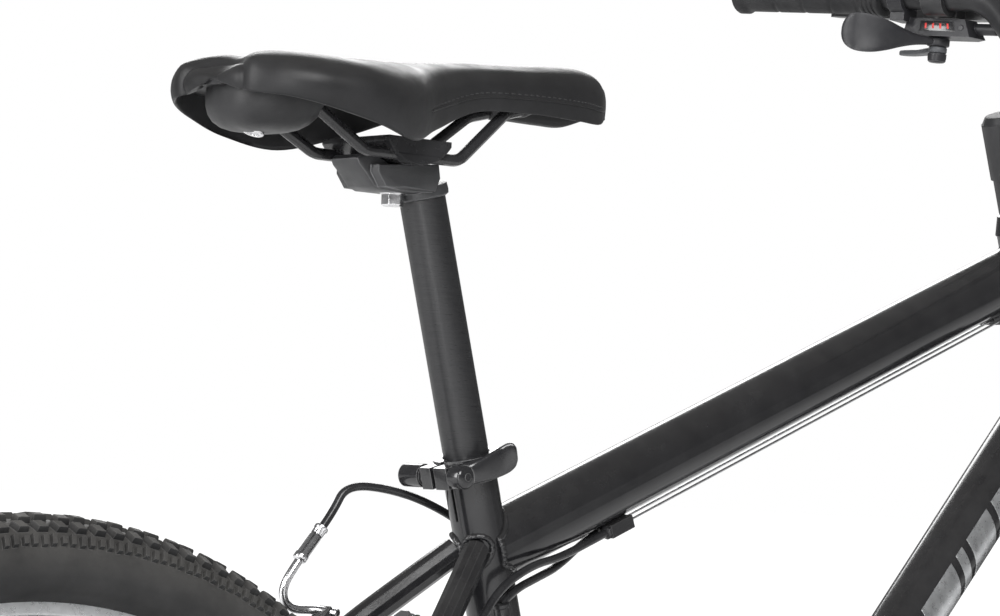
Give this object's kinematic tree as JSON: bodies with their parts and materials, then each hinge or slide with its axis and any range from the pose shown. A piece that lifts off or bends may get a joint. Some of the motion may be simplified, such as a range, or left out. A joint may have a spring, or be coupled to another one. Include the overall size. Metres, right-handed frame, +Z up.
{
  "type": "hardtail mountain bicycle",
  "caption": "Hardtail mountain bicycle with a short-travel fork, rim brakes, two derailleurs, knobbly tyres, a quick-release seatpost and trigger shifters.",
  "frame": {"origin": "on the ground, midway between the two axles, in the bicycle's middle plane", "axes": "+X forward, +Y to the rider's left, +Z up"},
  "size_m": [1.747, 0.6318, 1.0919],
  "materials": {
    "frame_black_gloss": "gloss black paint",
    "post_anodised": "satin dark-grey anodising",
    "vinyl": "smooth black vinyl",
    "base_plastic": "moulded black plastic",
    "rail_black": "satin black steel",
    "cast_grey": "cast dark grey",
    "bright_steel": "zinc-plated steel",
    "collar_black": "gloss black anodising",
    "tyre_rubber": "knobbly black rubber",
    "rim_silver": "machined silver",
    "hub_silver": "satin silver",
    "spoke_steel": "bright stainless steel",
    "fork_black": "gloss black magnesium",
    "bar_black": "satin black",
    "grip_rubber": "ribbed black rubber",
    "control_black": "matte black plastic",
    "control_grey": "matte dark-grey plastic",
    "brake_black": "satin black",
    "crank_black": "satin black",
    "sprocket_steel": "nickel-plated steel",
    "derailleur_black": "satin black and grey",
    "pulley_plastic": "black plastic",
    "chain_steel": "oiled steel",
    "housing_black": "black cable housing",
    "pedal_black": "black resin"
  },
  "bodies": {
    "frame": {"head_tube": "frame_black_gloss", "top_tube": "frame_black_gloss", "down_tube": "frame_black_gloss", "seat_tube": "frame_black_gloss", "bottom_bracket": "frame_black_gloss", "chain_stays": "frame_black_gloss", "seat_stays": "frame_black_gloss", "dropouts": "frame_black_gloss", "headset_cups": "collar_black", "seat_collar": "collar_black", "rear_axle": "bright_steel", "front_derailleur_clamp": "derailleur_black", "rear_derailleur_body": "derailleur_black", "chain": "chain_steel", "rear_cables": "housing_black"},
    "seat_lever": {"seat_qr_lever": "collar_black"},
    "seatpost": {"seatpost": "post_anodised", "seat_clamp_head": "cast_grey"},
    "saddle": {"saddle_rails": "rail_black", "saddle_base": "base_plastic", "saddle_cover": "vinyl"},
    "steering": {"fork_crown": "fork_black", "stem": "bar_black", "handlebar": "bar_black", "grips": "grip_rubber", "brake_perches": "brake_black", "shifter_bodies": "control_black", "front_cables": "housing_black"},
    "brake_lever_left": {"brake_lever_left": "brake_black"},
    "brake_lever_right": {"brake_lever_right": "brake_black"},
    "shift_thumb_left": {"shift_thumb_left": "control_black"},
    "shift_thumb_right": {"shift_thumb_right": "control_black"},
    "shift_release_left": {"shift_release_left": "control_grey"},
    "shift_release_right": {"shift_release_right": "control_grey"},
    "fork_slider": {"fork_lowers": "fork_black", "front_axle": "bright_steel"},
    "front_wheel": {"front_tyre": "tyre_rubber", "front_rim": "rim_silver", "front_spokes": "spoke_steel", "front_hub": "hub_silver"},
    "rear_wheel": {"rear_tyre": "tyre_rubber", "rear_rim": "rim_silver", "rear_spokes": "spoke_steel", "rear_hub": "hub_silver"},
    "front_brake_left": {"front_brake_left": "brake_black"},
    "front_brake_right": {"front_brake_right": "brake_black"},
    "rear_brake_left": {"rear_brake_left": "brake_black"},
    "rear_brake_right": {"rear_brake_right": "brake_black"},
    "crankset": {"cranks": "crank_black", "chainrings": "sprocket_steel"},
    "pedal_left": {"pedal_left": "pedal_black"},
    "pedal_right": {"pedal_right": "pedal_black"},
    "cassette": {"cassette": "sprocket_steel"},
    "derailleur_link_outer": {"derailleur_link_outer": "derailleur_black"},
    "derailleur_link_inner": {"derailleur_link_inner": "derailleur_black"},
    "derailleur_knuckle": {"derailleur_knuckle": "derailleur_black"},
    "derailleur_cage": {"derailleur_cage": "derailleur_black"},
    "guide_pulley": {"guide_pulley": "pulley_plastic"},
    "idler_pulley": {"idler_pulley": "pulley_plastic"},
    "front_derailleur_cage": {"front_derailleur_cage": "sprocket_steel"}
  },
  "joints": [
    {"name": "seat_lever_hinge", "type": "hinge", "parent": "frame", "child": "seat_lever", "pos_m": [-0.24868, 0, 0.6863], "axis": [0, 1, 0], "range_deg": [0, 150]},
    {"name": "seatpost_slide", "type": "slide", "parent": "frame", "child": "seatpost", "axis": [-0.2756, 0, 0.9613], "range_m": [-0.1, 0.08]},
    {"name": "saddle_tilt", "type": "hinge", "parent": "seatpost", "child": "saddle", "pos_m": [-0.29997, 0, 0.89313], "axis": [0, 1, 0], "range_deg": [-8, 8]},
    {"name": "steering_hinge", "type": "hinge", "parent": "frame", "child": "steering", "pos_m": [0.36346, 0, 0.72196], "axis": [-0.3256, 0, 0.9455], "range_deg": [-60, 60], "deforming": ["front_cables"]},
    {"name": "brake_lever_left_hinge", "type": "hinge", "parent": "steering", "child": "brake_lever_left", "pos_m": [0.40877, 0.14823, 1.05505], "axis": [0.014, -0.0765, 0.997], "range_deg": [0, 17], "stiffness_Nm_per_rad": 2, "springref_deg": -5.73},
    {"name": "brake_lever_right_hinge", "type": "hinge", "parent": "steering", "child": "brake_lever_right", "pos_m": [0.40877, -0.14823, 1.05505], "axis": [-0.014, -0.0765, -0.997], "range_deg": [0, 17], "stiffness_Nm_per_rad": 2, "springref_deg": -5.73},
    {"name": "shift_thumb_left_hinge", "type": "hinge", "parent": "steering", "child": "shift_thumb_left", "pos_m": [0.39472, 0.14722, 1.06119], "axis": [-0.014, 0.0765, -0.997], "range_deg": [0, 35], "stiffness_Nm_per_rad": 0.3, "springref_deg": -11.46},
    {"name": "shift_thumb_right_hinge", "type": "hinge", "parent": "steering", "child": "shift_thumb_right", "pos_m": [0.39472, -0.14722, 1.06119], "axis": [0.014, 0.0765, 0.997], "range_deg": [0, 35], "stiffness_Nm_per_rad": 0.3, "springref_deg": -11.46},
    {"name": "shift_release_left_hinge", "type": "hinge", "parent": "steering", "child": "shift_release_left", "pos_m": [0.39472, 0.14722, 1.06119], "axis": [0.014, -0.0765, 0.997], "range_deg": [0, 20], "stiffness_Nm_per_rad": 0.2, "springref_deg": -11.46},
    {"name": "shift_release_right_hinge", "type": "hinge", "parent": "steering", "child": "shift_release_right", "pos_m": [0.39472, -0.14722, 1.06119], "axis": [-0.014, -0.0765, -0.997], "range_deg": [0, 20], "stiffness_Nm_per_rad": 0.2, "springref_deg": -11.46},
    {"name": "fork_slide", "type": "slide", "parent": "steering", "child": "fork_slider", "axis": [-0.3256, 0, 0.9455], "range_m": [0, 0.06], "stiffness_N_per_m": 6000, "springref_m": -0.02},
    {"name": "front_wheel_spin", "type": "hinge", "parent": "fork_slider", "child": "front_wheel", "pos_m": [0.5425, 0, 0.331], "axis": [0, 1, 0], "continuous": true},
    {"name": "rear_wheel_spin", "type": "hinge", "parent": "frame", "child": "rear_wheel", "pos_m": [-0.5425, 0, 0.331], "axis": [0, 1, 0], "continuous": true},
    {"name": "front_brake_left_hinge", "type": "hinge", "parent": "fork_slider", "child": "front_brake_left", "pos_m": [0.4479, 0.04, 0.56888], "axis": [0.9455, 0, 0.3256], "range_deg": [0, 4.2]},
    {"name": "front_brake_right_hinge", "type": "hinge", "parent": "fork_slider", "child": "front_brake_right", "pos_m": [0.4479, -0.04, 0.56888], "axis": [-0.9455, 0, -0.3256], "range_deg": [0, 4.2]},
    {"name": "rear_brake_right_hinge", "type": "hinge", "parent": "frame", "child": "rear_brake_right", "pos_m": [-0.36392, -0.04, 0.51443], "axis": [-0.7128, 0, 0.7014], "range_deg": [0, 4.2]},
    {"name": "rear_brake_left_hinge", "type": "hinge", "parent": "frame", "child": "rear_brake_left", "pos_m": [-0.36392, 0.04, 0.51443], "axis": [0.7128, 0, -0.7014], "range_deg": [0, 4.2]},
    {"name": "crank_spin", "type": "hinge", "parent": "frame", "child": "crankset", "pos_m": [-0.11369, 0, 0.299], "axis": [0, 1, 0], "continuous": true, "deforming": ["chain"]},
    {"name": "pedal_left_spin", "type": "hinge", "parent": "crankset", "child": "pedal_left", "pos_m": [-0.28369, 0, 0.299], "axis": [0, 1, 0], "continuous": true},
    {"name": "pedal_right_spin", "type": "hinge", "parent": "crankset", "child": "pedal_right", "pos_m": [0.05631, 0, 0.299], "axis": [0, 1, 0], "continuous": true},
    {"name": "cassette_spin", "type": "hinge", "parent": "frame", "child": "cassette", "pos_m": [-0.5425, 0, 0.331], "axis": [0, 1, 0], "continuous": true},
    {"name": "derailleur_outer_hinge", "type": "hinge", "parent": "frame", "child": "derailleur_link_outer", "pos_m": [-0.5455, -0.089, 0.281], "axis": [0.8, 0, 0.6], "range_deg": [-12, 20]},
    {"name": "derailleur_inner_hinge", "type": "hinge", "parent": "frame", "child": "derailleur_link_inner", "pos_m": [-0.5491, -0.07861, 0.2858], "axis": [0.8, 0, 0.6], "range_deg": [-12, 20]},
    {"name": "derailleur_knuckle_hinge", "type": "hinge", "parent": "derailleur_link_outer", "child": "derailleur_knuckle", "pos_m": [-0.52472, -0.069, 0.25329], "axis": [0.8, 0, 0.6], "range_deg": [-20, 12]},
    {"name": "derailleur_cage_hinge", "type": "hinge", "parent": "derailleur_knuckle", "child": "derailleur_cage", "pos_m": [-0.5185, 0, 0.235], "axis": [0, 1, 0], "range_deg": [-20, 30], "stiffness_Nm_per_rad": 1},
    {"name": "guide_pulley_spin", "type": "hinge", "parent": "derailleur_cage", "child": "guide_pulley", "pos_m": [-0.5125, 0, 0.227], "axis": [0, 1, 0], "continuous": true},
    {"name": "idler_pulley_spin", "type": "hinge", "parent": "derailleur_cage", "child": "idler_pulley", "pos_m": [-0.49162, 0, 0.17289], "axis": [0, 1, 0], "continuous": true},
    {"name": "front_derailleur_hinge", "type": "hinge", "parent": "frame", "child": "front_derailleur_cage", "pos_m": [-0.15469, -0.032, 0.433], "axis": [1, 0, 0], "range_deg": [-6, 8]}
  ],
  "couplings": [
    {"joint": "front_brake_left_hinge", "follows": "brake_lever_left_hinge", "ratio": 0.235},
    {"joint": "front_brake_right_hinge", "follows": "brake_lever_left_hinge", "ratio": 0.235},
    {"joint": "rear_brake_left_hinge", "follows": "brake_lever_right_hinge", "ratio": 0.235},
    {"joint": "rear_brake_right_hinge", "follows": "brake_lever_right_hinge", "ratio": 0.235},
    {"joint": "cassette_spin", "follows": "crank_spin", "ratio": 1.8889},
    {"joint": "guide_pulley_spin", "follows": "crank_spin", "ratio": -3.0909},
    {"joint": "idler_pulley_spin", "follows": "crank_spin", "ratio": 3.0909},
    {"joint": "derailleur_inner_hinge", "follows": "derailleur_outer_hinge", "ratio": 1},
    {"joint": "derailleur_knuckle_hinge", "follows": "derailleur_outer_hinge", "ratio": -1}
  ]
}
